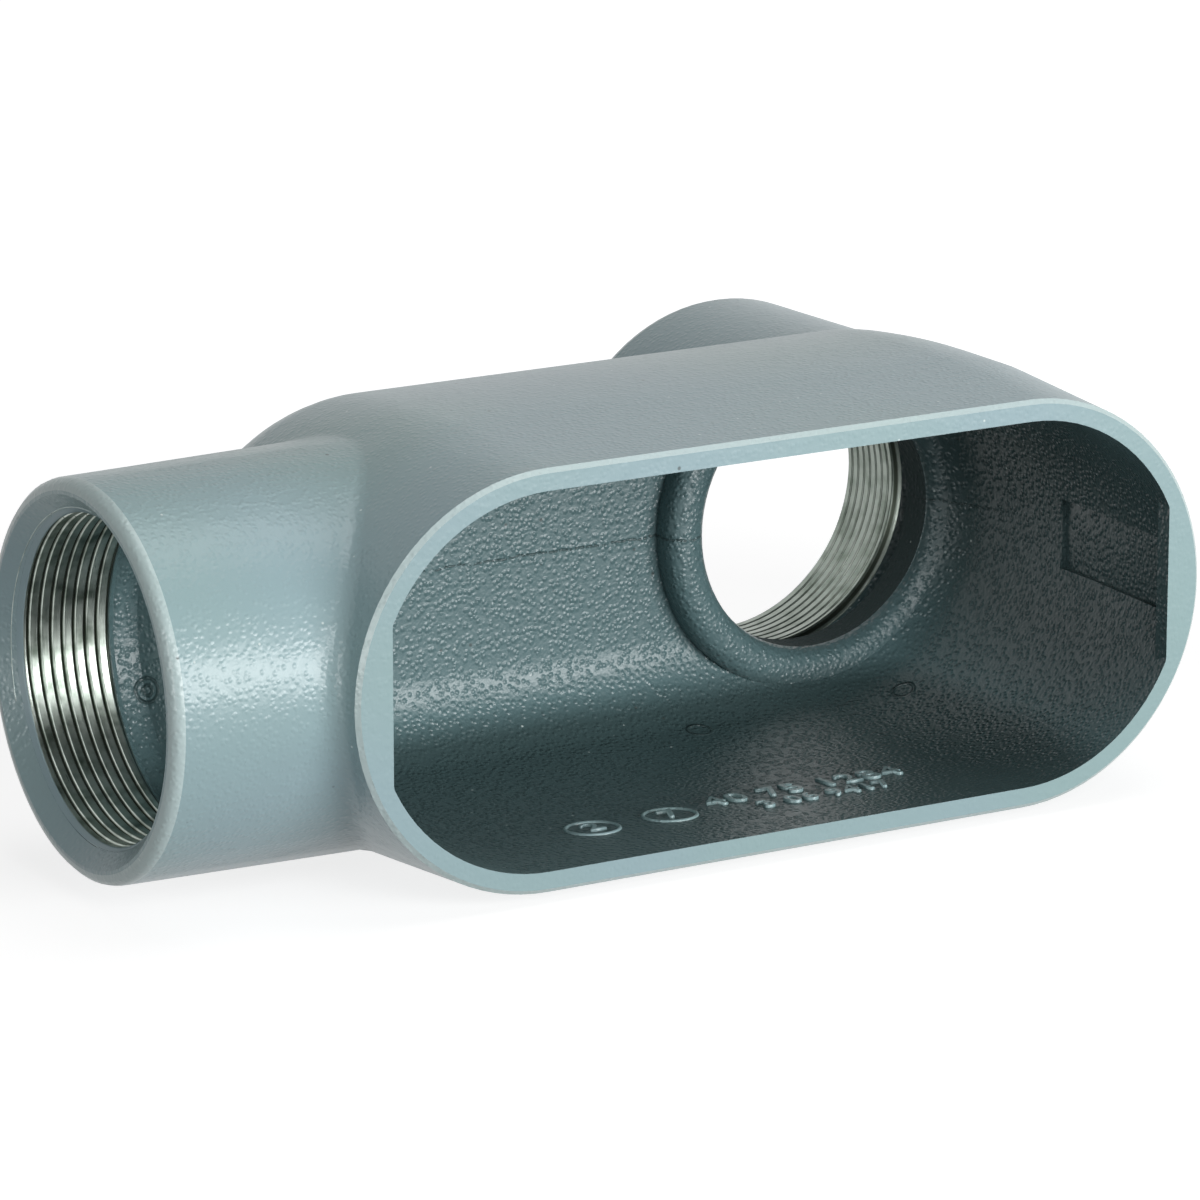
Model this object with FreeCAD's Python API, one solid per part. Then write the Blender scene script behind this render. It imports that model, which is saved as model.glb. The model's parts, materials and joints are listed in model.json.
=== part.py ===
"""Conduit body with a side hub and a back hub, two-inch trade size: one iron casting.

Local frame while modelling: X runs along the body, Y runs from the cover opening into the
body, Z is up, and the origin is the centre of the machined cover seat. At the end the casting
is moved so that the origin is the bottom centre of its box.
"""
import FreeCAD, Part
import math
import os
from FreeCAD import Vector

# ---- driving dimensions, millimetres and degrees ----
# cover seat and body
seat_half_width = 38.0        # half the height of the seat, and its end radius
straight_half_length = 50.0   # from the middle of the seat to the centre of each round end
body_depth = 83.2             # cover seat to the outside of the back wall
belly_swell = 2.0             # the sides swell by this round the side hub's axis
belly_run = 11.6              # in front of that axis the swollen sides run level this far
shoulder_swell = 0.5          # what is left of the swell where the side rounds into the back
shoulder_rise = 18.2          # outside of the back wall to that place
seat_edge_break = 0.8         # bevel round the outside of the ground seat
side_wall = 3.9
back_wall = 5.2

# lips and wedge-nut slots at both ends of the opening
lip_reach = 3.2               # how far a lip's straight edge stands in from the end wall
lip_thickness = 3.5
lip_corner_round = 2.5
slot_half_width = 6.7
slot_reach = 41.0             # depth at which the slot ends
slot_sink = 0.7               # how far its floor lies behind the end wall

# hubs
side_hub_rise = 41.6          # outside of the back wall to the axis of the side hub
side_hub_length = 31.8        # end of the seat to the mouth of the side hub
back_hub_length = 29.0        # outside of the back wall to the mouth of the back hub
hub_rim = 2.8                 # flat ring between the chamfer and the outside of the mouth
hub_draft = 0.97
hub_mouth_round = 2.2
hub_inset = 0.3               # the back hub's root lies this far inside the body's round end
hub_inset_depth = 8.0         # and starts this far behind the side hub's axis
side_hub_root_fillet = 4.0
back_hub_root_fillet = 4.0

# passage through a hub, measured inwards from its mouth
thread_root_radius = 30.1     # bottom of the tapped thread's grooves
chamfer_width = 2.8
thread_end = 21.2
relief_undercut = 0.9         # the relief is this much wider than the thread
relief_run_in = 1.2
relief_end = 30.0
throat_step = 4.7             # the throat is this much narrower than the thread

# smooth bushing round the back hub's throat, inside the body
bushing_rise = 5.6            # height above the inside of the back wall
bushing_width = 8.2           # from the throat to the outside of the ring
bushing_lip_round = 3.6
bushing_shoulder_round = 3.0
throat_edge_round = 2.0       # edge of the side hub's throat inside the body

rounding_flats = 3            # short flats that work a small outside rounding
overrun = 2.0                 # cutting tools stand this far outside what they cut

# ---- sizes that follow from them ----
belly_half_width = seat_half_width + belly_swell
shoulder_half_width = seat_half_width + shoulder_swell
shoulder_depth = body_depth - shoulder_rise
side_hub_depth = body_depth - side_hub_rise
belly_front = side_hub_depth - belly_run
lip_half_spacing = straight_half_length + seat_half_width - side_wall - lip_reach
side_hub_face = straight_half_length + seat_half_width + side_hub_length
back_hub_face = body_depth + back_hub_length
chamfer_radius = thread_root_radius + chamfer_width
hub_mouth_radius = chamfer_radius + hub_rim
relief_radius = thread_root_radius + relief_undercut
throat_radius = thread_root_radius - throat_step
bushing_radius = throat_radius + bushing_width


def arc(start, mid, end):
    """Edge of the circular arc through three points."""
    return Part.Arc(start, mid, end).toShape()


def line(start, end):
    """Straight edge between two points."""
    return Part.LineSegment(start, end).toShape()


def at(along, out):
    """Point of a profile: `along` is its place on the Y axis, `out` its distance from it."""
    return Vector(0, along, out)


def turn_point(centre, radius, angle):
    """Point of a circle in the profile plane, the angle in radians from straight out to +Y."""
    return centre + at(radius * math.sin(angle), radius * math.cos(angle))


def eased_corner(centre, radius, start, end):
    """Points of a small rounding, worked as short flats between two angles in radians."""
    turn = (end - start) / rounding_flats
    return [turn_point(centre, radius, start + step * turn) for step in range(rounding_flats + 1)]


def body_profile(mouth, belly, shoulder, depth, edge_break, lead):
    """Half section of the body or of its hollow: swollen side, rounded back, flat front.

    `lead` carries the front on past the seat, for a hollow that has to cut through it.
    """
    crown_run = shoulder_depth - side_hub_depth
    crown_drop = belly - shoulder
    crown_radius = (crown_run * crown_run + crown_drop * crown_drop) / (2 * crown_drop)
    crown_centre = at(side_hub_depth, belly - crown_radius)
    fall = math.asin(crown_run / crown_radius)
    crown_mid = turn_point(crown_centre, crown_radius, fall / 2)
    crown_end = turn_point(crown_centre, crown_radius, fall)
    corner_radius = (depth - shoulder_depth) / (1 - math.sin(fall))
    corner_centre = turn_point(crown_end, -corner_radius, fall)
    corner_mid = turn_point(corner_centre, corner_radius, (fall + math.pi / 2) / 2)
    corner_end = turn_point(corner_centre, corner_radius, math.pi / 2)
    side = [
        at(-lead, 0),
        at(-lead, mouth - edge_break),
        at(edge_break, mouth),
        at(belly_front, belly),
        at(side_hub_depth, belly),
    ]
    edges = [line(a, b) for a, b in zip(side, side[1:])]
    edges.append(arc(side[-1], crown_mid, crown_end))
    edges.append(arc(crown_end, corner_mid, corner_end))
    edges.append(line(corner_end, at(depth, 0)))
    edges.append(line(at(depth, 0), side[0]))
    return Part.Face(Part.Wire(Part.__sortEdges__(edges)))


def obround_block(profile):
    """Sweep a half section round the long obround: two half turns and two straight runs."""
    origin = Vector(0, 0, 0)
    up_y = Vector(0, 1, 0)
    run = Vector(2 * straight_half_length, 0, 0)
    right = profile.revolve(origin, up_y, 180)
    right.translate(Vector(straight_half_length, 0, 0))
    left = profile.revolve(origin, up_y, -180)
    left.translate(Vector(-straight_half_length, 0, 0))
    top = profile.extrude(run)
    top.translate(Vector(-straight_half_length, 0, 0))
    bottom = top.mirror(origin, Vector(0, 0, 1))
    return top.fuse([bottom, right, left]).removeSplitter()


def outer_block():
    """Solid outside of the body, without its hubs."""
    return obround_block(body_profile(
        seat_half_width, belly_half_width, shoulder_half_width,
        body_depth, seat_edge_break, 0))


def lip_box(side):
    """Block of metal at one end of the opening that stays as the lip."""
    reach = straight_half_length + seat_half_width - lip_half_spacing
    box = Part.makeBox(reach, lip_thickness + overrun, 2 * seat_half_width)
    box.translate(Vector(lip_half_spacing, -overrun, -seat_half_width))
    if side < 0:
        box = box.mirror(Vector(0, 0, 0), Vector(1, 0, 0))
    return box


def hollow():
    """The core that leaves the inside of the body open."""
    core = obround_block(body_profile(
        seat_half_width - side_wall, belly_half_width - side_wall,
        shoulder_half_width - side_wall, body_depth - back_wall, 0, overrun))
    core = core.cut([lip_box(1), lip_box(-1)])
    corners = [edge for edge in core.Edges if is_lip_corner(edge)]
    return core.makeFillet(lip_corner_round, corners)


def is_lip_corner(edge):
    """True for the four edges along Y where a lip's straight edge meets the side wall."""
    ends = [vertex.Point for vertex in edge.Vertexes]
    on_lip = all(abs(abs(end.x) - lip_half_spacing) < 0.01 for end in ends)
    return on_lip and abs(ends[0].y - ends[-1].y) > lip_thickness / 2


def wedge_nut_slot(side):
    """Flat-floored recess behind a lip, where the cover screw's wedge nut slides."""
    inner_end = straight_half_length + seat_half_width - side_wall + slot_sink
    swell = belly_half_width - seat_half_width
    corners = [
        Vector(lip_half_spacing - overrun, lip_thickness, -slot_half_width),
        Vector(inner_end, lip_thickness, -slot_half_width),
        Vector(inner_end + swell, slot_reach, -slot_half_width),
        Vector(lip_half_spacing - overrun, slot_reach, -slot_half_width),
    ]
    slot = Part.Face(Part.makePolygon(corners + corners[:1])).extrude(
        Vector(0, 0, 2 * slot_half_width))
    if side < 0:
        slot = slot.mirror(Vector(0, 0, 0), Vector(1, 0, 0))
    return slot


def turned(points_and_arcs):
    """Full turn about the Y axis of a closed outline given as edges."""
    face = Part.Face(Part.Wire(Part.__sortEdges__(points_and_arcs)))
    return face.revolve(Vector(0, 0, 0), Vector(0, 1, 0), 360)


def outline(points):
    """Straight edges that join the points in turn and close."""
    return [line(a, b) for a, b in zip(points, points[1:] + points[:1])]


def hub_radius(from_mouth):
    """Outside radius of a hub at a distance from its mouth."""
    return hub_mouth_radius + from_mouth * math.tan(math.radians(hub_draft))


def hub_outside(length):
    """Solid hub along Y: its mouth at zero, its root at minus `length`."""
    edge = hub_mouth_round
    rounding = eased_corner(at(-edge, hub_radius(edge) - edge), edge, math.pi / 2, 0)
    return turned(outline(
        [at(0, 0)] + rounding + [at(-length, hub_radius(length)), at(-length, 0)]))


def hub_passage(length):
    """What is bored out of a hub, in the same place: chamfer, thread, relief and throat."""
    chamfer_depth = chamfer_radius - thread_root_radius
    throat_step = relief_radius - throat_radius
    return turned(outline([
        at(overrun, 0),
        at(overrun, chamfer_radius + overrun),
        at(-chamfer_depth, thread_root_radius),
        at(-thread_end, thread_root_radius),
        at(-thread_end - relief_run_in, relief_radius),
        at(-relief_end + throat_step / 2, relief_radius),
        at(-relief_end, throat_radius),
        at(-length, throat_radius),
        at(-length, 0),
    ]))


def bushing():
    """Smooth ring raised round the back hub's throat, along Y with the hub's mouth at zero."""
    top = body_depth - back_wall - bushing_rise - back_hub_face
    base = body_depth - back_hub_face
    lip = bushing_lip_round
    shoulder = bushing_shoulder_round
    lip_centre = at(top + lip, throat_radius + lip)
    shoulder_centre = at(top + shoulder, bushing_radius - shoulder)
    return turned(outline(
        [at(base, throat_radius)]
        + eased_corner(lip_centre, lip, -math.pi, -math.pi / 2)
        + eased_corner(shoulder_centre, shoulder, -math.pi / 2, 0)
        + [at(base, bushing_radius)]))


def onto_side_hub(shape):
    """Turn and move a shape made along Y so that it lies along the side hub."""
    shape = shape.copy()
    shape.rotate(Vector(0, 0, 0), Vector(0, 0, 1), 90)
    shape.translate(Vector(-side_hub_face, side_hub_depth, 0))
    return shape


def back_hub_x():
    """Place of the back hub's axis: its root almost reaches the body's round end."""
    root_radius = hub_radius(back_hub_face - side_hub_depth)
    return straight_half_length + belly_half_width - hub_inset - root_radius


def onto_back_hub(shape):
    """Move a shape made along Y so that it lies along the back hub."""
    shape = shape.copy()
    shape.translate(Vector(back_hub_x(), back_hub_face, 0))
    return shape


def is_hub_side(face, direction):
    """True for the tapered outside of the hub that lies along `direction`."""
    surface = face.Surface
    if not isinstance(surface, Part.Cone):
        return False
    has_draft = abs(abs(surface.SemiAngle) - math.radians(hub_draft)) < 1e-6
    return has_draft and abs(surface.Axis.dot(direction)) > 0.999


def is_throat(face, direction):
    """True for the throat of the hub that lies along `direction`."""
    surface = face.Surface
    if not isinstance(surface, Part.Cylinder):
        return False
    has_radius = abs(surface.Radius - throat_radius) < 1e-6
    return has_radius and abs(surface.Axis.dot(direction)) > 0.999


def meeting_edges(shape, belongs, direction):
    """Open edges where the faces that `belongs` picks out run into other faces."""
    edges = []
    for edge in shape.Edges:
        picked = [belongs(face, direction) for face in shape.ancestorsOfType(edge, Part.Face)]
        if sorted(picked) == [False, True] and not edge.isClosed():
            edges.append(edge)
    return edges


def outside_with_hubs():
    """Solid outside of the whole casting, each hub's root filleted into the body."""
    side_length = side_hub_face - straight_half_length
    back_length = back_hub_face - side_hub_depth - hub_inset_depth
    outside = outer_block().fuse([
        onto_side_hub(hub_outside(side_length)),
        onto_back_hub(hub_outside(back_length)),
    ]).removeSplitter()
    side_root = meeting_edges(outside, is_hub_side, Vector(1, 0, 0))
    outside = outside.makeFillet(side_hub_root_fillet, side_root)
    back_root = meeting_edges(outside, is_hub_side, Vector(0, 1, 0))
    return outside.makeFillet(back_hub_root_fillet, back_root)


def casting():
    """The whole casting in the local frame."""
    side_reach = side_hub_face - straight_half_length
    back_reach = back_hub_face - body_depth + back_wall + bushing_rise + overrun
    outside = outside_with_hubs()
    ring = onto_back_hub(bushing()).common(outside)
    shell = outside.cut(hollow()).fuse(ring).cut([
        onto_side_hub(hub_passage(side_reach)),
        onto_back_hub(hub_passage(back_reach)),
        wedge_nut_slot(1),
        wedge_nut_slot(-1),
    ]).removeSplitter()
    throat_edge = meeting_edges(shell, is_throat, Vector(1, 0, 0))
    return shell.makeFillet(throat_edge_round, throat_edge)


def to_bottom_centre(shape):
    """Put the origin at the bottom centre of the casting's box."""
    box = shape.optimalBoundingBox(False)
    shape.translate(Vector(-(box.XMin + box.XMax) / 2, -(box.YMin + box.YMax) / 2, -box.ZMin))
    return shape


conduit_body = to_bottom_centre(casting())
os.makedirs("parts", exist_ok=True)
conduit_body.exportStep("parts/conduit_body.step")
print("solids", len(conduit_body.Solids), "valid", conduit_body.isValid(),
      "faces", len(conduit_body.Faces), "volume_cm3", round(conduit_body.Volume / 1000, 2))
box = conduit_body.optimalBoundingBox(False)
print("box", [round(v, 3) for v in (box.XMin, box.XMax, box.YMin, box.YMax, box.ZMin, box.ZMax)])
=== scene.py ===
# %% [markdown]
# # A cast iron conduit body, painted grey, with two tapped hubs
#
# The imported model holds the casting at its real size. This lesson gives it the looks of the
# real thing: grey enamel over rough iron, a ground seat for the cover, and the bright taper
# threads that a tap cut into both hubs after the paint was on.

# %% Load the frame
import bpy
import bmesh
import json
import math
from mathutils import Matrix, Vector


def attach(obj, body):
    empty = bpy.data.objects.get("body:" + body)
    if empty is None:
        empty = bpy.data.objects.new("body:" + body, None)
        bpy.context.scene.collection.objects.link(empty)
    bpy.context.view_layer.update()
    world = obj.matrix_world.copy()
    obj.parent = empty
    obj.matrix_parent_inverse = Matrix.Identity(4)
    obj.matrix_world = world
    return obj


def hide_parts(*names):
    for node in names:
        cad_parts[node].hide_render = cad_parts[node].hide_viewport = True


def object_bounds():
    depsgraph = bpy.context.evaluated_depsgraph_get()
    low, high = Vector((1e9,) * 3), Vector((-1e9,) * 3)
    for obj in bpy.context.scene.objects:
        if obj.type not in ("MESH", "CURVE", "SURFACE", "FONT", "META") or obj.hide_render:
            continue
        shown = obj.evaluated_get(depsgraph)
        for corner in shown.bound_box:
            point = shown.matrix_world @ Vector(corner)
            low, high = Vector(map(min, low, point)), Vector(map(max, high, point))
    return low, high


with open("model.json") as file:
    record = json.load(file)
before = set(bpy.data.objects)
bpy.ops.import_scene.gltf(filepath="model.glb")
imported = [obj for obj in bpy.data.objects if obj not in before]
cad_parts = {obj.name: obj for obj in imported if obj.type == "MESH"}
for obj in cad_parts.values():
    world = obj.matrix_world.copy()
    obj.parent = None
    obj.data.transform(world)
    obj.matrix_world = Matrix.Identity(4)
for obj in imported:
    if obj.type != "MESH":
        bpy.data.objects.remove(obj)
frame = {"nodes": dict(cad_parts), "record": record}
cad_low, cad_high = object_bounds()
casting = frame["nodes"]["conduit_body"]
MM = 0.001
print("casting box in mm:", [round(v / MM, 1) for v in cad_high - cad_low])

# %% [markdown]
# ## Where things are
#
# The record says where both threaded bores are: a point on each axis, the direction in which
# the conduit leaves, and the radius of the bore. Everything in this lesson that belongs to a
# hub is placed from there, so nothing is measured twice.

# %% Read the mounts
mounts = {m["name"]: m for m in frame["record"]["mounts"]}
side_bore = mounts["side_hub_thread"]
back_bore = mounts["back_hub_thread"]
seat = Vector(mounts["cover_seat"]["pos_m"])
SIDE_AXIS = Vector(side_bore["axis"])
BACK_AXIS = Vector(back_bore["axis"])
side_mouth = Vector(side_bore["pos_m"])
side_mouth.x = cad_low.x
back_mouth = Vector(back_bore["pos_m"])
back_mouth.y = cad_high.y
SEAT_Y = cad_low.y
AXIS_Z = side_mouth.z
BORE_RADIUS = side_bore["dims"]["r_mm"] * MM
print("side hub mouth", [round(v, 4) for v in side_mouth], "back hub mouth",
      [round(v, 4) for v in back_mouth])

# %% [markdown]
# ## The middle of each void
#
# Sand cores leave the hollow coarser than the mould leaves the outside, so the paint has to
# know which faces lie inside. A core is a thick plate in the body and a round bar in each hub.
# A face is inside when it looks towards the middle of the core beside it. The raised ring
# round the back throat also belongs to the hollow, though half of it looks away from there.

# %% Tell inside from outside
CORE_HALF_LENGTH = 50 * MM
CORE_FRONT = SEAT_Y + 10 * MM
CORE_BACK = SEAT_Y + 70 * MM
HUB_MIDDLE = 40 * MM
BODY_LEFT = seat.x - 88 * MM
BODY_BACK = SEAT_Y + 82.5 * MM
RING_RADIUS = 34.5 * MM
RING_TOP = SEAT_Y + 70 * MM
BACK_WALL_MIDDLE = SEAT_Y + 80.6 * MM


def nearest_core(point):
    """Nearest point of the line or plate that lies in the middle of the void round a point."""
    if point.x < BODY_LEFT:
        return Vector((max(point.x, side_mouth.x + HUB_MIDDLE), side_mouth.y, AXIS_Z))
    if point.y > BODY_BACK:
        return Vector((back_mouth.x, min(point.y, back_mouth.y - HUB_MIDDLE), AXIS_Z))
    x = min(max(point.x, seat.x - CORE_HALF_LENGTH), seat.x + CORE_HALF_LENGTH)
    y = min(max(point.y, CORE_FRONT), CORE_BACK)
    return Vector((x, y, AXIS_Z))


def off_side_axis(point):
    """Distance of a point from the side hub's axis."""
    return math.hypot(point.y - side_mouth.y, point.z - AXIS_Z)


def off_back_axis(point):
    """Distance of a point from the back hub's axis."""
    return math.hypot(point.x - back_mouth.x, point.z - AXIS_Z)


def is_inside(middle, normal):
    """True for a face of the hollow, of a passage or of the raised ring round the throat."""
    if off_back_axis(middle) < RING_RADIUS and RING_TOP < middle.y < BACK_WALL_MIDDLE:
        return True
    return (middle - nearest_core(middle)).dot(normal) <= 0


print("core plate in mm:", round(2 * CORE_HALF_LENGTH / MM), "long,",
      round((CORE_BACK - CORE_FRONT) / MM), "deep")

# %% [markdown]
# ## Highlit, ground and shaded places
#
# A painted highlight lies on the broken edges: on the bevel of the cover seat, and a little on
# the rounded mouths of the hubs. The seat itself is ground flat, so its paint is smoother. The
# short throat behind the back thread gets painted shade, and its paint there is dull.

# %% Find those places
BEVEL_DEPTH = 0.8 * MM
MOUTH_EDGE = 2.3 * MM
RIM_INNER_RADIUS = 33.4 * MM
LEAST_SLANT = 0.2
BEVEL_SLANT = 0.95
ROUNDING_SLANT = 0.97
# Shares of painted highlight on the seat's bevel and on the hubs' mouths.
SEAT_HIGHLIGHT = 0.45
MOUTH_HIGHLIGHT = 0.4
FACES_FRONT = -0.99
SEAT_DEPTH = 0.1 * MM
THROAT_REACH = 26.4 * MM
THROAT_START = SEAT_Y + 76.6 * MM
THROAT_END = SEAT_Y + 90 * MM


def mouth_highlight_share(slant):
    """Painted highlight on a hub's mouth, for a face whose normal has this share along the
    axis.
    """
    return MOUTH_HIGHLIGHT if LEAST_SLANT < abs(slant) < ROUNDING_SLANT else 0.0


def highlight_share(middle, normal):
    """How much painted highlight a face gets: the seat's bevel most, the hubs' mouths a little.
    """
    if middle.y < SEAT_Y + BEVEL_DEPTH and LEAST_SLANT < abs(normal.y) < BEVEL_SLANT:
        return SEAT_HIGHLIGHT
    if middle.x < side_mouth.x + MOUTH_EDGE and off_side_axis(middle) > RIM_INNER_RADIUS:
        return mouth_highlight_share(normal.x)
    if middle.y > back_mouth.y - MOUTH_EDGE and off_back_axis(middle) > RIM_INNER_RADIUS:
        return mouth_highlight_share(normal.y)
    return 0.0


def is_ground(middle, normal):
    """True for the flat face of the cover seat."""
    return normal.y < FACES_FRONT and middle.y < SEAT_Y + SEAT_DEPTH


def in_back_throat(middle):
    """True for the narrow passage between the back thread and the raised ring."""
    return off_back_axis(middle) < THROAT_REACH and THROAT_START < middle.y < THROAT_END


print("throat in mm:", round((THROAT_END - THROAT_START) / MM, 1), "long")

# %% [markdown]
# ## One skin for the casting
#
# The imported solid is a bag of loose triangles, one bag for each CAD face. A copy is welded so
# that it can be shaded as one skin. Edges that turn more than a third of a right angle stay
# sharp, as a ground or bored edge is. The small roundings are worked as short flats in the
# solid, and the Weighted Normal modifier lets each large face keep its own normal while the
# flats between them blend, which is what a real rounding looks like.
#
# Each face carries four numbers for the paint: inside, a painted edge highlight, ground and
# deep. Inside and deep also tell where painted shade goes. They sit on faces and not on
# corners, so that none of them bleeds over an edge.

# %% Weld a copy of the casting
SHARP_ANGLE = math.radians(32)
WELD_DISTANCE = 0.002 * MM


def welded_casting():
    """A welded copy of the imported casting, shaded smooth between its sharp edges."""
    skin = bpy.data.meshes.new("painted_casting")
    work = bmesh.new()
    work.from_mesh(casting.data)
    bmesh.ops.remove_doubles(work, verts=work.verts, dist=WELD_DISTANCE)
    for edge in work.edges:
        edge.smooth = edge.calc_face_angle(math.pi) < SHARP_ANGLE
    inside = work.faces.layers.float.new("inside")
    painted_highlight = work.faces.layers.float.new("painted_highlight")
    ground = work.faces.layers.float.new("ground")
    deep = work.faces.layers.float.new("deep")
    for face in work.faces:
        middle = face.calc_center_median()
        inner = is_inside(middle, face.normal)
        face[inside] = float(inner)
        face[painted_highlight] = 0.0 if inner else highlight_share(middle, face.normal)
        face[ground] = float(is_ground(middle, face.normal))
        face[deep] = float(in_back_throat(middle))
        face.smooth = True
    work.to_mesh(skin)
    work.free()
    return skin


body = bpy.data.objects.new("painted_casting", welded_casting())
bpy.context.collection.objects.link(body)
weighted = body.modifiers.new("weighted", "WEIGHTED_NORMAL")
weighted.keep_sharp = True
weighted.mode = "FACE_AREA_WITH_ANGLE"
print("casting skin:", len(body.data.polygons), "triangles,",
      sum(1 for e in body.data.edges if e.use_edge_sharp), "sharp edges")

# %% [markdown]
# ## Node helpers
#
# A colour is written as the hex value a paint chart would give, and turned to the linear
# numbers that the renderer adds up. One function adds a node, sets its values and makes its
# links. The short ones after it only name the nodes that come up again and again.


# %% Colour and node helpers
def rgb(hex_value):
    """Linear RGBA of an sRGB hex value such as 0x8FA3A8."""
    parts = [(hex_value >> shift & 255) / 255 for shift in (16, 8, 0)]
    linear = [c / 12.92 if c <= 0.04045 else ((c + 0.055) / 1.055) ** 2.4 for c in parts]
    return (*linear, 1.0)


def node(tree, kind, inputs=None, **settings):
    """Add one node. A link is given as a socket, anything else is the input's value."""
    made = tree.nodes.new(kind)
    for name, value in settings.items():
        setattr(made, name, value)
    for key, value in (inputs or {}).items():
        socket = made.inputs[key]
        if isinstance(value, bpy.types.NodeSocket):
            tree.links.new(value, socket)
        else:
            socket.default_value = value
    return made


def maths(tree, operation, *values):
    """Result of one Math node."""
    return node(tree, "ShaderNodeMath", dict(enumerate(values)), operation=operation).outputs[0]


def vector_maths(tree, operation, *values):
    """One Vector Math node, whose first output is a vector and "Value" a number."""
    return node(tree, "ShaderNodeVectorMath", dict(enumerate(values)), operation=operation)


def ramp(tree, value, start, end, low=0.0, high=1.0, **settings):
    """`low` where a value is at `start`, `high` where it is at `end`, and level beyond."""
    return node(tree, "ShaderNodeMapRange", {
        "Value": value, "From Min": start, "From Max": end,
        "To Min": low, "To Max": high}, **settings).outputs[0]


def band(tree, value, centre, half_width, edge):
    """1 where `value` lies within `half_width` of `centre`, falling to 0 over `edge`."""
    size = maths(tree, "ABSOLUTE", maths(tree, "SUBTRACT", value, centre))
    return ramp(tree, size, half_width, half_width + edge, 1.0, 0.0)


def blend(tree, factor, first, second):
    """Colour `first` turning to colour `second` as the factor goes from 0 to 1."""
    return node(tree, "ShaderNodeMix", {
        "Factor": factor, "A": first, "B": second}, data_type="RGBA").outputs["Result"]


def noise(tree, place, size, detail=1.0):
    """Soft noise whose lumps are about `size` wide."""
    return node(tree, "ShaderNodeTexNoise", {
        "Vector": place, "Scale": 1 / size, "Detail": detail}).outputs["Fac"]


def cells(tree, place, size, randomness=1.0):
    """Distance from the nearest of many scattered points that lie about `size` apart."""
    return node(tree, "ShaderNodeTexVoronoi", {
        "Vector": place, "Scale": 1 / size, "Randomness": randomness},
        feature="F1").outputs["Distance"]


def attribute(tree, name):
    """A number that the mesh carries under a name."""
    return node(tree, "ShaderNodeAttribute", attribute_name=name).outputs["Fac"]


def empty_material(name):
    """A new material, its empty node tree and the place on the object in metres."""
    material = bpy.data.materials.new(name)
    material.use_nodes = True
    tree = material.node_tree
    tree.nodes.clear()
    return material, tree, node(tree, "ShaderNodeTexCoord").outputs["Object"]


print("linear value of mid grey:", round(rgb(0x808080)[0], 3))

# %% [markdown]
# ## Grey enamel over cast iron
#
# The real finish is an air-dried grey enamel, flooded on, so it fills the fine grain of the
# casting and leaves an orange-peel gloss. Enamel is a plain dielectric: IOR 1.5, a roughness
# near 0.3 and no metal. To the eye it gives a soft grey with a blue or green cast and a
# broken highlight.
#
# Its relief has three sizes, each in real millimetres: beads of moulding sand about 1 mm wide
# with a finer unevenness between them, an orange peel of 3.5 mm, and in the hollow the
# parting line of the core, which runs round it at half height. The grain is stronger inside
# than outside, and weak on the ground seat. Pins of the moulding tools leave thin rings.

# %% Relief of the paint
BEAD_SIZE = 1.05 * MM
SAND_SIZE = 0.70 * MM
SAND_SHARE = 0.6
PEEL_SIZE = 3.5 * MM
LINE_WANDER = 0.6 * MM
HOLLOW_HALF_LENGTH = 84.8 * MM
HOLLOW_MIDDLE = SEAT_Y + 44 * MM
HOLLOW_HALF_DEPTH = 36 * MM
PIN_MARKS = [
    (Vector((78.7, 4.8, 7.8)) * MM, 2.1 * MM),
    (Vector((35.5, 8.4, 5.3)) * MM, 2.3 * MM),
    (Vector((-77.4, 13.4, 28.1)) * MM, 2.2 * MM),
    (Vector((-77.4, 13.4, 28.1)) * MM, 0.9 * MM),
]


def sand_grain(tree, place, sand):
    """Rounded beads of moulding sand, with a finer unevenness between them."""
    beads = ramp(tree, cells(tree, place, BEAD_SIZE), 0.05, 0.62, 1.0, 0.0,
                 interpolation_type="SMOOTHSTEP")
    return maths(tree, "MULTIPLY_ADD", sand, SAND_SHARE, beads)


def parting_line(tree, place, inside, sand, peel):
    """The thin broken line round the hollow, where the two halves of the core met."""
    parts = node(tree, "ShaderNodeSeparateXYZ", {0: place}).outputs
    wander = ramp(tree, peel, 0.0, 1.0, -LINE_WANDER, LINE_WANDER)
    height = maths(tree, "ADD", parts["Z"], wander)
    seam = band(tree, height, AXIS_Z, 0.10 * MM, 0.22 * MM)
    for share in (
            ramp(tree, sand, 0.42, 0.52), inside,
            band(tree, parts["X"], seat.x, HOLLOW_HALF_LENGTH, 0.3 * MM),
            band(tree, parts["Y"], HOLLOW_MIDDLE, HOLLOW_HALF_DEPTH, 1.0 * MM)):
        seam = maths(tree, "MULTIPLY", seam, share)
    return seam


def pin_rings(tree, place):
    """Thin rings round the pin marks."""
    rings = 0.0
    for spot, radius in PIN_MARKS:
        offset = vector_maths(tree, "SUBTRACT", place, spot).outputs[0]
        away = vector_maths(tree, "LENGTH", offset).outputs["Value"]
        rings = maths(tree, "MAXIMUM", band(tree, away, radius, 0.12 * MM, 0.30 * MM), rings)
    return rings


def stacked_bumps(tree, layers):
    """Bump nodes one over another, each given as height, strength, distance and invert."""
    normal = None
    for height, strength, distance, invert in layers:
        inputs = {"Height": height, "Strength": strength, "Distance": distance}
        if normal:
            inputs["Normal"] = normal
        normal = node(tree, "ShaderNodeBump", inputs, invert=invert).outputs[0]
    return normal


print("pin rings:", len(PIN_MARKS), "bead size in mm:", round(BEAD_SIZE / MM, 2))
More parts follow.
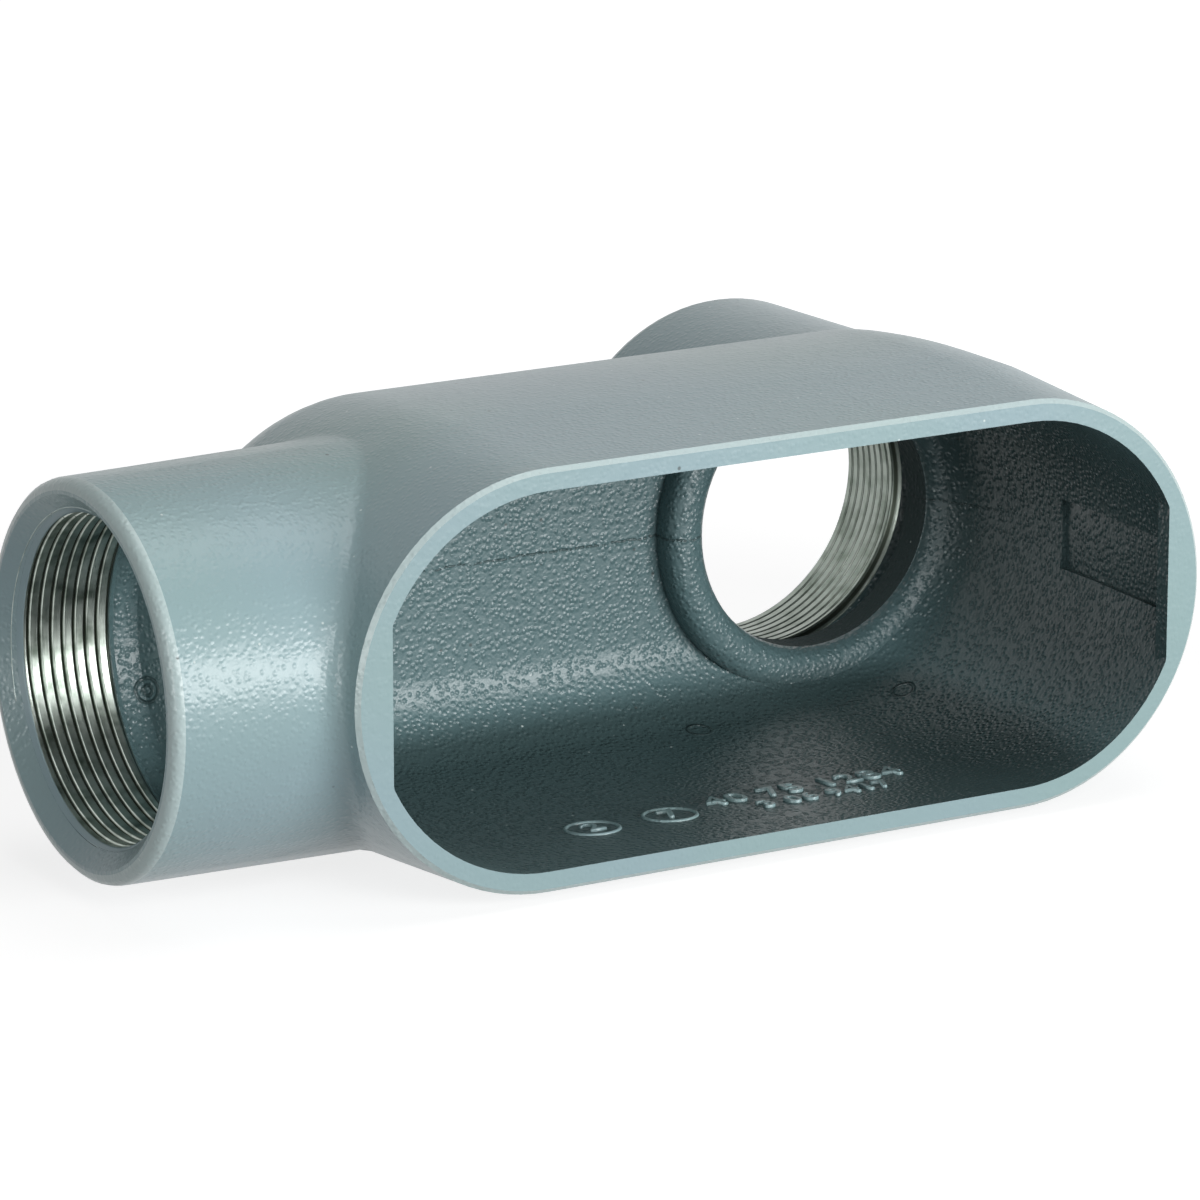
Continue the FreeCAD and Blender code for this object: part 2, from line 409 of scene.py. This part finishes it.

# %% [markdown]
# The colour changes slowly between a bluer and a greener grey over about 60 mm. It turns pale
# on the broken edges, which is a painted highlight, and is darker inside, which is painted
# shade. More painted shade darkens the hollow low down, at its closed end and in the back
# throat, and darkens the seam and the pin rings in their crevices. Dark specks and pale flecks
# of dust lie in the paint, about a centimetre apart.

# %% Colour of the paint
CAST_SIZE = 60 * MM
SPECK_SPACING = 9 * MM
FLECK_SPACING = 6.5 * MM
BLUE_GREY = rgb(0x849BA1)
GREEN_GREY = rgb(0x839C9D)
# Painted highlight on the broken edges.
HIGHLIGHT_PALE = rgb(0xCFDCD9)
# Painted shade: the same enamel made darker for the hollow.
SHADED_HOLLOW_GREY = rgb(0x577073)
# Painted shade for the low parts of the hollow, its closed end and the back throat.
DEEP_SHADE = rgb(0x1E2A28)
SPECK = rgb(0x39413F)
FLECK = rgb(0xC9D4D2)
# Painted shade for the crevices of the seam and the pin rings.
CREVICE_SHADE = rgb(0x2C3836)
# How strongly painted shade darkens the hollow's low parts and closed end, and the throat.
LOW_AND_END_SHADE = 0.62
THROAT_SHADE = 0.8
THROAT_ROUGHNESS = 0.9


def painted_shade_share(tree, place, inside, throat):
    """Share of painted shade: low in the hollow, at its closed end and in the throat."""
    parts = node(tree, "ShaderNodeSeparateXYZ", {0: place}).outputs
    bottom = ramp(tree, parts["Z"], AXIS_Z - 27.5 * MM, AXIS_Z - 32 * MM)
    closed_end = ramp(tree, parts["X"], seat.x + 68 * MM, seat.x + 82 * MM)
    shelter = maths(tree, "MULTIPLY", maths(tree, "MAXIMUM", bottom, closed_end), inside)
    return maths(tree, "MAXIMUM", maths(tree, "MULTIPLY", shelter, LOW_AND_END_SHADE),
                 maths(tree, "MULTIPLY", throat, THROAT_SHADE))


def paint_colour(tree, place, inside, throat, seam, pins):
    """Colour of the enamel from its broad tone down to its specks, with painted light and
    shade.
    """
    cast = ramp(tree, noise(tree, place, CAST_SIZE), 0.35, 0.65)
    speck = ramp(tree, cells(tree, place, SPECK_SPACING), 0.025, 0.05, 0.75, 0.0)
    fleck = ramp(tree, cells(tree, place, FLECK_SPACING, 0.9), 0.02, 0.045, 0.8, 0.0)
    colour = BLUE_GREY
    for factor, next_colour in (
            (cast, GREEN_GREY),
            # Painted highlight on the broken edges.
            (attribute(tree, "painted_highlight"), HIGHLIGHT_PALE),
            # Painted shade inside the hollow.
            (inside, SHADED_HOLLOW_GREY),
            # Painted shade low in the hollow, at its closed end and in the throat.
            (painted_shade_share(tree, place, inside, throat), DEEP_SHADE),
            (speck, SPECK),
            (fleck, FLECK),
            # Painted shade darkens the seam and the pin rings.
            (maths(tree, "MULTIPLY", seam, 0.55), CREVICE_SHADE),
            (maths(tree, "MULTIPLY", pins, 0.45), CREVICE_SHADE)):
        colour = blend(tree, factor, colour, next_colour)
    return colour


print("shades of enamel: outside", [round(v, 3) for v in BLUE_GREY[:3]], "hollow",
      [round(v, 3) for v in SHADED_HOLLOW_GREY[:3]])

# %% Enamel
GRAIN_HEIGHT = 0.16 * MM


def enamel_material():
    """Grey enamel, coarse inside and finer outside, with a soft broken gloss."""
    material, tree, place = empty_material("grey_enamel_on_cast_iron")
    inside = attribute(tree, "inside")
    throat = attribute(tree, "deep")
    sand = noise(tree, place, SAND_SIZE)
    peel = noise(tree, place, PEEL_SIZE)
    seam = parting_line(tree, place, inside, sand, peel)
    pins = pin_rings(tree, place)
    coarse = ramp(tree, inside, 0.0, 1.0, 0.40, 1.0)
    ground = ramp(tree, attribute(tree, "ground"), 0.0, 1.0, 1.0, 0.35)
    normal = stacked_bumps(tree, [
        (sand_grain(tree, place, sand), maths(tree, "MULTIPLY", coarse, ground),
         GRAIN_HEIGHT, False),
        (peel, 0.5, GRAIN_HEIGHT, False),
        (pins, 1.0, 0.35 * MM, False),
        (seam, 1.0, 0.15 * MM, True)])
    gloss = maths(tree, "MAXIMUM", ramp(tree, inside, 0.0, 1.0, 0.30, 0.34),
                  maths(tree, "MULTIPLY", throat, THROAT_ROUGHNESS))
    shader = node(tree, "ShaderNodeBsdfPrincipled", {
        "Base Color": paint_colour(tree, place, inside, throat, seam, pins),
        "Roughness": gloss, "IOR": 1.5, "Normal": normal})
    node(tree, "ShaderNodeOutputMaterial", {"Surface": shader.outputs[0]})
    return material


enamel = enamel_material()
body.data.materials.append(enamel)
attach(body, "root")
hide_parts("conduit_body")
print("paint nodes:", len(enamel.node_tree.nodes))

# %% [markdown]
# ## Bare cut thread
# The tap cuts through the paint, so the thread is bare iron under a zinc wash: silver with a
# slight green-yellow cast. It is a metal, at a roughness near 0.3, and the tap's teeth leave
# fine lines along it. Those lines are about 0.1 mm apart, too fine to show, so they are drawn
# at 0.25 mm. The grooves are painted dark along their roots, which is painted shade and gives
# thin black lines between wide bright crests. Each tooth of the tap starts its cut with a
# small step, which leaves dark ticks across the crests. The back hub's thread gets a darker
# copy of the same metal, which is painted shade. The cone at the mouth was painted before the
# tap came, so it keeps its enamel.

# %% Thread metal
PITCH = 25.4 / 11.5 * MM
TAPER = 1 / 32
THREAD_DEPTH = 0.60 * MM
ROOT_RADIUS = BORE_RADIUS - 0.15 * MM
CHAMFER_RADIUS = 32.92 * MM
GROOVE_REACH = 0.35 * THREAD_DEPTH
FIRST_GROOVE = 3.6 * MM
TOOL_LINES = 0.25 * MM
STAIN_SIZE = 4 * MM
TICK_ANGLES = (math.radians(62), math.radians(171))
CLEAN_METAL = 0xBBC4BC
# Painted shade: the back hub's thread gets a darker copy of the same metal.
SHADED_BACK_METAL = 0x949D95
STAINED = rgb(0x6F7A70)
# Painted shade in the thread grooves, also used for the dark ticks across the crests.
TICKS_AND_GROOVE_SHADE = rgb(0x3E443C)


def hub_coordinates(tree, place, mouth, axis):
    """Depth from a hub's mouth, distance from its axis (0 for X, 1 for Y), angle round it."""
    offset = vector_maths(tree, "SUBTRACT", place, mouth).outputs[0]
    parts = node(tree, "ShaderNodeSeparateXYZ", {0: offset}).outputs
    across = Vector((1.0, 1.0, 1.0))
    across[axis] = 0.0
    flat = vector_maths(tree, "MULTIPLY", offset, across).outputs[0]
    return (maths(tree, "ABSOLUTE", parts[axis]),
            vector_maths(tree, "LENGTH", flat).outputs["Value"],
            maths(tree, "ARCTAN2", parts["Z"], parts[1 - axis]))


def groove_shade_and_ticks(tree, depth, radius, angle):
    """How dark the thread is: painted shade in the grooves, and dark ticks across the crests.
    """
    tapered = maths(tree, "MULTIPLY_ADD", depth, TAPER, radius)
    # Painted shade along the roots of the grooves.
    low = band(tree, tapered, ROOT_RADIUS, GROOVE_REACH, GROOVE_REACH)
    begun = ramp(tree, depth, FIRST_GROOVE, FIRST_GROOVE + 0.8 * MM)
    groove_darkening = maths(tree, "MULTIPLY", low, begun)
    for tick in TICK_ANGLES:
        mark = maths(tree, "MULTIPLY", band(tree, angle, tick, 0.004, 0.006), 0.8)
        groove_darkening = maths(tree, "MAXIMUM", groove_darkening, mark)
    return groove_darkening


def thread_material(name, mouth, axis, metal_colour):
    """Cut metal whose fine lines run round a hub's axis (0 for X, 1 for Y)."""
    material, tree, place = empty_material(name)
    stretch = [0.04, 0.04, 0.04]
    stretch[axis] = 1.0
    drawn = node(tree, "ShaderNodeMapping", {"Vector": place, "Scale": stretch}).outputs[0]
    lines = noise(tree, drawn, TOOL_LINES, 2.0)
    dull = ramp(tree, noise(tree, place, STAIN_SIZE, 3.0), 0.42, 0.72)
    depth, radius, angle = hub_coordinates(tree, place, mouth, axis)
    cone = maths(tree, "ADD", depth, radius)
    painted = band(tree, cone, CHAMFER_RADIUS, 0.05 * MM, 0.10 * MM)
    metal = blend(tree, dull, rgb(metal_colour), STAINED)
    darkened_metal = blend(tree, groove_shade_and_ticks(tree, depth, radius, angle), metal, TICKS_AND_GROOVE_SHADE)
    shader = node(tree, "ShaderNodeBsdfPrincipled", {
        "Base Color": blend(tree, painted, darkened_metal, BLUE_GREY),
        "Metallic": maths(tree, "SUBTRACT", 1.0, painted),
        "Roughness": ramp(tree, lines, 0.0, 1.0, 0.22, 0.42),
        "Normal": stacked_bumps(tree, [(lines, 0.6, 0.03 * MM, False)])})
    node(tree, "ShaderNodeOutputMaterial", {"Surface": shader.outputs[0]})
    return material


side_metal = thread_material("cut_thread_side_hub", side_mouth, 0, CLEAN_METAL)
# The back thread takes the darker metal, which is painted shade.
back_metal = thread_material("cut_thread_back_hub", back_mouth, 1, SHADED_BACK_METAL)
print("thread metals:", side_metal.name, back_metal.name)

# %% [markdown]
# ## The taper thread
#
# Two-inch pipe thread has 11.5 turns to the inch and closes in by 1 in 32 on the radius. A
# thread is one section carried round a helix, so Geometry Nodes make it: a spiral for the
# path, a section with a flat crest and 60 degree flanks, and Curve to Mesh to join them. The
# section is one pitch wide, so each turn meets the next with no gap, and its back lies hidden
# in the wall of the hub.
#
# Where the chamfer at the mouth is wider than the thread, the points are pushed out to the
# chamfer's cone, which trims the first turns as the countersink does on the real hub. At the
# relief groove a second cone sinks the last turn into the wall. The section has a point every
# 0.2 mm, so both cones cut it cleanly.

# %% Thread section
ROOT_FLAT = 0.10 * MM
BACKING = 0.95 * MM
SECTION_STEP = 0.2 * MM
FLANK = THREAD_DEPTH * math.tan(math.radians(30))
CREST_HALF = (PITCH - ROOT_FLAT) / 2 - FLANK
HALF_PITCH = PITCH / 2


def split_line(corners, longest):
    """Corners with extra points between them, so that no step is longer than `longest`."""
    points = [corners[0]]
    for first, second in zip(corners, corners[1:]):
        steps = math.ceil(math.dist(first, second) / longest)
        points += [(first[0] + (second[0] - first[0]) * i / steps,
                    first[1] + (second[1] - first[1]) * i / steps)
                   for i in range(1, steps + 1)]
    return points


def section_curve(name, points):
    """Closed line for a sweep, which turns a section's +x to the axis, so x changes sign."""
    curve = bpy.data.curves.new(name, "CURVE")
    curve.dimensions = "3D"
    spline = curve.splines.new("POLY")
    spline.points.add(len(points) - 1)
    for target, (x, y) in zip(spline.points, points):
        target.co = (-x, y, 0, 1)
    spline.use_cyclic_u = True
    made = bpy.data.objects.new(name, curve)
    bpy.context.collection.objects.link(made)
    return made


cut_side = split_line([
    (0, -HALF_PITCH), (0, -CREST_HALF - FLANK), (-THREAD_DEPTH, -CREST_HALF),
    (-THREAD_DEPTH, CREST_HALF), (0, CREST_HALF + FLANK), (0, HALF_PITCH)], SECTION_STEP)
section = section_curve("thread_section",
                        [(BACKING, -HALF_PITCH)] + cut_side + [(BACKING, HALF_PITCH)])
print("crest flat in mm:", round(2 * CREST_HALF / MM, 2), "section points:", len(cut_side) + 2)

# %% Thread tree
THREAD_START = 1.9 * MM
THREAD_END = 23.3 * MM
LAST_CREST = 21.0 * MM
HIDDEN_DEPTH = 22.0 * MM
STEPS_PER_TURN = 96
TREE_INPUTS = {
    "Geometry": "NodeSocketGeometry", "Turns": "NodeSocketFloat",
    "Start Radius": "NodeSocketFloat", "End Radius": "NodeSocketFloat",
    "Length": "NodeSocketFloat", "Start Depth": "NodeSocketFloat",
    "Chamfer Radius": "NodeSocketFloat", "Metal": "NodeSocketMaterial"}


def trimmed_place(tree, given):
    """New place of each point: outside both cones and no deeper than the hidden depth."""
    spot = node(tree, "GeometryNodeInputPosition").outputs[0]
    parts = node(tree, "ShaderNodeSeparateXYZ", {0: spot}).outputs
    flat = node(tree, "ShaderNodeCombineXYZ", {"X": parts["X"], "Y": parts["Y"]}).outputs[0]
    radius = vector_maths(tree, "LENGTH", flat).outputs["Value"]
    depth = maths(tree, "ADD", parts["Z"], given["Start Depth"])
    mouth_cone = maths(tree, "SUBTRACT", given["Chamfer Radius"], depth)
    run_out_cone = maths(tree, "ADD", depth, ROOT_RADIUS - LAST_CREST)
    wanted = maths(tree, "MAXIMUM", maths(tree, "MAXIMUM", radius, mouth_cone), run_out_cone)
    pushed = node(tree, "ShaderNodeVectorMath", {
        0: flat, "Scale": maths(tree, "DIVIDE", wanted, radius)}, operation="SCALE")
    level = node(tree, "ShaderNodeCombineXYZ", {
        "Z": maths(tree, "MINIMUM", depth, HIDDEN_DEPTH)})
    return vector_maths(tree, "ADD", pushed.outputs[0], level.outputs[0]).outputs[0]


def thread_tree(section):
    """Geometry Nodes tree: sweep a section round a taper helix, then trim it to both cones."""
    tree = bpy.data.node_groups.new("taper_thread", "GeometryNodeTree")
    sockets = {
        name: tree.interface.new_socket(name, in_out="INPUT", socket_type=kind).identifier
        for name, kind in TREE_INPUTS.items()}
    tree.interface.new_socket("Geometry", in_out="OUTPUT", socket_type="NodeSocketGeometry")
    given = node(tree, "NodeGroupInput").outputs
    path = node(tree, "GeometryNodeCurveSpiral", {
        "Resolution": STEPS_PER_TURN, "Rotations": given["Turns"],
        "Start Radius": given["Start Radius"], "End Radius": given["End Radius"],
        "Height": given["Length"]})
    upright = node(tree, "GeometryNodeSetCurveNormal", {"Curve": path.outputs[0]},
                   mode="Z_UP")
    shape = node(tree, "GeometryNodeObjectInfo", {"Object": section})
    swept = node(tree, "GeometryNodeCurveToMesh", {
        "Curve": upright.outputs[0], "Profile Curve": shape.outputs["Geometry"],
        "Fill Caps": True})
    trimmed = node(tree, "GeometryNodeSetPosition", {
        "Geometry": swept.outputs[0], "Position": trimmed_place(tree, given)})
    whole = node(tree, "GeometryNodeRealizeInstances", {"Geometry": trimmed.outputs[0]})
    coloured = node(tree, "GeometryNodeSetMaterial", {
        "Geometry": whole.outputs[0], "Material": given["Metal"]})
    node(tree, "NodeGroupOutput", {0: coloured.outputs[0]})
    return tree, sockets


taper_tree, socket_ids = thread_tree(section)
print("thread tree nodes:", len(taper_tree.nodes))

# %% [markdown]
# ## A round tube
#
# Two small things are thin round beads: the edge that the tap's first tooth scored in the
# painted chamfer, and the rings round the mould numbers. A bead is a circle carried along
# points, which a short mesh function does for an open or a closed row.

# %% Tube along points
TUBE_SIDES = 8


def circle_round(point, along, thickness):
    """Points of a circle that stands across a direction, round a point."""
    out = Vector((point.x, point.y, 0)).normalized()
    up = along.cross(out)
    leans = [2 * math.pi * j / TUBE_SIDES for j in range(TUBE_SIDES)]
    return [point + (out * math.cos(lean) + up * math.sin(lean)) * thickness
            for lean in leans]


def tube(points, thickness, closed):
    """Mesh of a round tube of a given half thickness along points."""
    work = bmesh.new()
    rows = []
    count = len(points)
    for i, point in enumerate(points):
        before = points[i - 1] if closed or i else point
        after = points[(i + 1) % count] if closed or i < count - 1 else point
        circle = circle_round(point, (after - before).normalized(), thickness)
        rows.append([work.verts.new(place) for place in circle])
    for i in range(count if closed else count - 1):
        first, second = rows[i], rows[(i + 1) % count]
        for j in range(TUBE_SIDES):
            k = (j + 1) % TUBE_SIDES
            work.faces.new((first[j], first[k], second[k], second[j]))
    if not closed:
        work.faces.new(rows[0][::-1])
        work.faces.new(rows[-1])
    bmesh.ops.recalc_face_normals(work, faces=work.faces)
    for face in work.faces:
        face.smooth = True
    made = bpy.data.meshes.new("tube")
    work.to_mesh(made)
    work.free()
    return made


print("tube sides:", TUBE_SIDES)

# %% Score line on the chamfer
SCORE_DEPTH = 2.7 * MM
SCORE_START = math.radians(70)
SCORE_END = math.radians(182)
SCORE_STEPS = 60
SCORE_THICKNESS = 0.10 * MM


def score_line():
    """Thin bright edge where the tap's first tooth scored the painted chamfer."""
    points = []
    for i in range(SCORE_STEPS + 1):
        angle = SCORE_START + (SCORE_END - SCORE_START) * i / SCORE_STEPS
        depth = SCORE_DEPTH + PITCH * (angle - SCORE_END) / (2 * math.pi)
        radius = CHAMFER_RADIUS - depth
        points.append(Vector((radius * math.cos(angle), radius * math.sin(angle), depth)))
    return tube(points, SCORE_THICKNESS, False)


print("score line in degrees:", round(math.degrees(SCORE_END - SCORE_START)))


# %% Cut both threads
def merged(name, meshes):
    """Several meshes as one, with the materials of the first."""
    work = bmesh.new()
    for mesh in meshes:
        work.from_mesh(mesh)
    made = meshes[0]
    work.to_mesh(made)
    work.free()
    for mesh in meshes[1:]:
        bpy.data.meshes.remove(mesh)
    made.name = name
    return made


def finished_mesh(holder):
    """An object's evaluated shape as a plain mesh, with the object itself removed."""
    graph = bpy.context.evaluated_depsgraph_get()
    made = bpy.data.meshes.new_from_object(holder.evaluated_get(graph))
    bpy.data.objects.remove(holder)
    return made


def mesh_from_nodes(name, tree, values):
    """Evaluate a node tree on an empty mesh and return the result as a plain mesh."""
    holder = bpy.data.objects.new(name, bpy.data.meshes.new(name))
    bpy.context.collection.objects.link(holder)
    modifier = holder.modifiers.new(name, "NODES")
    modifier.node_group = tree
    for key, value in values.items():
        modifier[socket_ids[key]] = value
    return finished_mesh(holder)


def into_hub(mouth, axis):
    """Matrix that lays a shape made along +Z, from the mouth inwards, into a hub."""
    turn = Vector((0, 0, 1)).rotation_difference(-axis).to_matrix().to_4x4()
    return Matrix.Translation(mouth) @ turn


def finished_piece(name, mesh):
    """A mesh as a finished piece that rides on the root body."""
    piece = bpy.data.objects.new(name, mesh)
    bpy.context.collection.objects.link(piece)
    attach(piece, "root")
    print(name, len(mesh.polygons), "faces, box", [round(v / MM, 1) for v in piece.dimensions])


def cut_thread(name, mouth, axis, metal):
    """One hub's thread as a finished piece."""
    length = THREAD_END - THREAD_START
    turns = mesh_from_nodes(name, taper_tree, {
        "Turns": length / PITCH,
        "Start Radius": ROOT_RADIUS - THREAD_START * TAPER,
        "End Radius": ROOT_RADIUS - THREAD_END * TAPER,
        "Length": length,
        "Start Depth": THREAD_START,
        "Chamfer Radius": CHAMFER_RADIUS,
        "Metal": metal,
    })
    mesh = merged(name, [turns, score_line()])
    mesh.transform(into_hub(mouth, axis))
    finished_piece(name, mesh)


cut_thread("side_hub_thread", side_mouth, SIDE_AXIS, side_metal)
cut_thread("back_hub_thread", back_mouth, BACK_AXIS, back_metal)
bpy.data.objects.remove(section)

# %% [markdown]
# ## Cast figures
#
# A foundry casts figures into the inside wall, where no one sees them once the cover is on.
# The ones here are plain digits that stand for nothing, and two single digits in round rings.
# They are raised type with a half thickness of 0.45 mm and a small bevel. They carry the same
# enamel as the outside, and their feet are sunk into the sloping wall so that no gap shows.

# %% Set the figures on the wall
WALL_SLOPE = math.atan(2.0 / 30.0)
WALL_TOP = AXIS_Z - 34.1 * MM
FIGURE_HALF_THICKNESS = 0.45 * MM
FIGURE_BEVEL = 0.12 * MM
RING_BEAD = 0.38 * MM
RING_HALF_WIDTH = 4.9 * MM
RING_STEPS = 48
RING_Y = -33.5
FIGURES = [
    # text, size, x and y of its middle, all in mm
    ("40 75 1284", 8.0, 33.5, -30.5),
    ("3 06 9417", 6.0, 33.5, -38.0),
    ("2", 7.0, -13.0, RING_Y),
    ("7", 7.0, 3.2, RING_Y),
]


def on_wall(x, y):
    """Matrix that lays a flat shape on the lower wall at a place in plan."""
    rise = Matrix.Rotation(-WALL_SLOPE, 4, "X")
    height = WALL_TOP - (y - SEAT_Y) * math.tan(WALL_SLOPE)
    return Matrix.Translation((x, y, height)) @ rise


def figures(text, size, x, y):
    """Raised figures as a mesh that lies on the wall."""
    curve = bpy.data.curves.new("figures", "FONT")
    curve.body = text
    curve.size = size
    curve.align_x = "CENTER"
    curve.align_y = "CENTER"
    curve.space_character = 1.15
    curve.extrude = FIGURE_HALF_THICKNESS
    curve.bevel_depth = FIGURE_BEVEL
    curve.bevel_resolution = 1
    curve.resolution_u = 3
    holder = bpy.data.objects.new("figures", curve)
    bpy.context.collection.objects.link(holder)
    made = finished_mesh(holder)
    made.transform(on_wall(x, y))
    return made


def ring(x, y):
    """Low round ring on the wall."""
    turns = [2 * math.pi * i / RING_STEPS for i in range(RING_STEPS)]
    made = tube([Vector((RING_HALF_WIDTH * math.cos(t), RING_HALF_WIDTH * math.sin(t), 0))
                 for t in turns], RING_BEAD, True)
    made.transform(on_wall(x, y))
    return made


raised = [figures(text, size * MM, x * MM, y * MM) for text, size, x, y in FIGURES]
raised += [ring(x * MM, y * MM) for text, size, x, y in FIGURES if y == RING_Y]
cast_mesh = merged("cast_numbers", raised)
cast_mesh.materials.clear()
cast_mesh.materials.append(enamel)
finished_piece("cast_numbers", cast_mesh)

# %% [markdown]
# ## Studio
#
# A plain white floor and backdrop. The floor is lit like everything else, so that it keeps the
# shadow, and glows a little where the camera or a reflection sees it. The glow grows from 0.80
# near the part to full white 0.36 m away, which takes the pale surround to white without
# adding light to the casting.

# %% Floor and world
NEAR_WHITE = 0.80
FAR_WHITE = 1.0
NEAR_RADIUS = 0.16
FAR_RADIUS = 0.36
FLOOR_REACH = 3.0
PAPER = rgb(0xA4A4A4)
FILL = 0.05


def seen_directly(tree):
    """1 for rays that show the floor or sky to the camera, straight or in a reflection."""
    ray = node(tree, "ShaderNodeLightPath").outputs
    shown = maths(tree, "MAXIMUM", ray["Is Camera Ray"], ray["Is Glossy Ray"])
    return maths(tree, "MAXIMUM", shown, ray["Is Transmission Ray"])


def paper_material():
    """Matt white paper that takes a shadow and still reads as white."""
    material, tree, place = empty_material("white_paper_floor")
    away = vector_maths(tree, "LENGTH", place).outputs["Value"]
    lift = ramp(tree, away, NEAR_RADIUS, FAR_RADIUS, NEAR_WHITE, FAR_WHITE)
    glow = node(tree, "ShaderNodeEmission", {
        "Strength": maths(tree, "MULTIPLY", seen_directly(tree), lift)})
    lit = node(tree, "ShaderNodeBsdfDiffuse", {"Color": PAPER})
    both = node(tree, "ShaderNodeAddShader", {0: lit.outputs[0], 1: glow.outputs[0]})
    node(tree, "ShaderNodeOutputMaterial", {"Surface": both.outputs[0]})
    return material


floor_mesh = bpy.data.meshes.new("floor")
floor_mesh.from_pydata(
    [(x * FLOOR_REACH, y * FLOOR_REACH, 0) for x, y in ((-1, -1), (1, -1), (1, 1), (-1, 1))],
    [], [(0, 1, 2, 3)])
floor = bpy.data.objects.new("floor", floor_mesh)
bpy.context.collection.objects.link(floor)
floor.data.materials.append(paper_material())

world = bpy.data.worlds.new("studio")
bpy.context.scene.world = world
world.use_nodes = True
sky_tree = world.node_tree
sky_tree.nodes.clear()
sky = node(sky_tree, "ShaderNodeBackground", {
    "Color": rgb(0xFFFFFF),
    "Strength": ramp(sky_tree, seen_directly(sky_tree), 0.0, 1.0, FILL, 1.0)})
node(sky_tree, "ShaderNodeOutputWorld", {"Surface": sky.outputs[0]})
print("floor", 2 * FLOOR_REACH, "m square, fill", FILL)

# %% [markdown]
# ## Lamps
#
# Four soft lamps. The large one stands in front and to the right, just above the height of
# the part, and gives the long highlight on the side hub and the back wall. A weaker one hangs
# overhead. A narrow strip on the left lights the end of the body and the fillet of the side
# hub, and a small high lamp looks into the hollow from the front.

# %% Lamps
LAMPS = [
    # name, direction from the part, distance, width and height in metres, watts
    ("front_softbox", (0.40, -0.90, 0.15), 1.0, (0.80, 0.32), 9.8),
    ("top_softbox", (0.15, -0.10, 1.0), 1.0, (0.6, 0.6), 2.7),
    ("left_strip", (-0.85, -0.50, 0.12), 0.8, (0.10, 0.40), 1.3),
    ("high_lamp", (-0.20, -0.86, 0.44), 0.8, (0.26, 0.20), 1.3),
]


def softbox(name, direction, distance, size, watts):
    """Rectangular area lamp that faces the part from a direction."""
    lamp = bpy.data.lights.new(name, "AREA")
    lamp.shape = "RECTANGLE"
    lamp.size, lamp.size_y = size
    lamp.energy = watts
    made = bpy.data.objects.new(name, lamp)
    bpy.context.collection.objects.link(made)
    away = Vector(direction).normalized()
    middle = (cad_low + cad_high) / 2
    made.location = middle + away * distance
    made.rotation_euler = away.to_track_quat("Z", "Y").to_euler()


for lamp_row in LAMPS:
    softbox(*lamp_row)
print("lamps:", [row[0] for row in LAMPS])

# %% [markdown]
# ## Camera
#
# The lens is long, so the two ends of the part differ little in scale. The camera stands to
# the left of the cover opening and a little above, and aims past the seat's centre.

# %% Camera
AZIMUTH = math.radians(30.96)
ELEVATION = math.radians(14.82)
DISTANCE = 1169.8 * MM
SEAT_RIGHT = 34.2 * MM
SEAT_UP = -7.7 * MM
LENS = 199.06
SENSOR_WIDTH = 36.0
NEAREST = 0.05
FARTHEST = 20.0

ahead = Vector((math.cos(ELEVATION) * math.sin(AZIMUTH),
                math.cos(ELEVATION) * math.cos(AZIMUTH), -math.sin(ELEVATION)))
right = Vector((math.cos(AZIMUTH), -math.sin(AZIMUTH), 0))
above = right.cross(ahead)
seat_centre = Vector((seat.x, SEAT_Y, AXIS_Z))
camera_data = bpy.data.cameras.new("camera")
camera_data.lens = LENS
camera_data.sensor_width = SENSOR_WIDTH
camera_data.clip_start = NEAREST
camera_data.clip_end = FARTHEST
camera = bpy.data.objects.new("camera", camera_data)
bpy.context.collection.objects.link(camera)
camera.location = seat_centre - right * SEAT_RIGHT - above * SEAT_UP - ahead * DISTANCE
camera.rotation_euler = (-ahead).to_track_quat("Z", "Y").to_euler()
bpy.context.scene.camera = camera
bpy.context.scene.view_settings.view_transform = "Standard"
print("camera at", [round(v, 3) for v in camera.location])
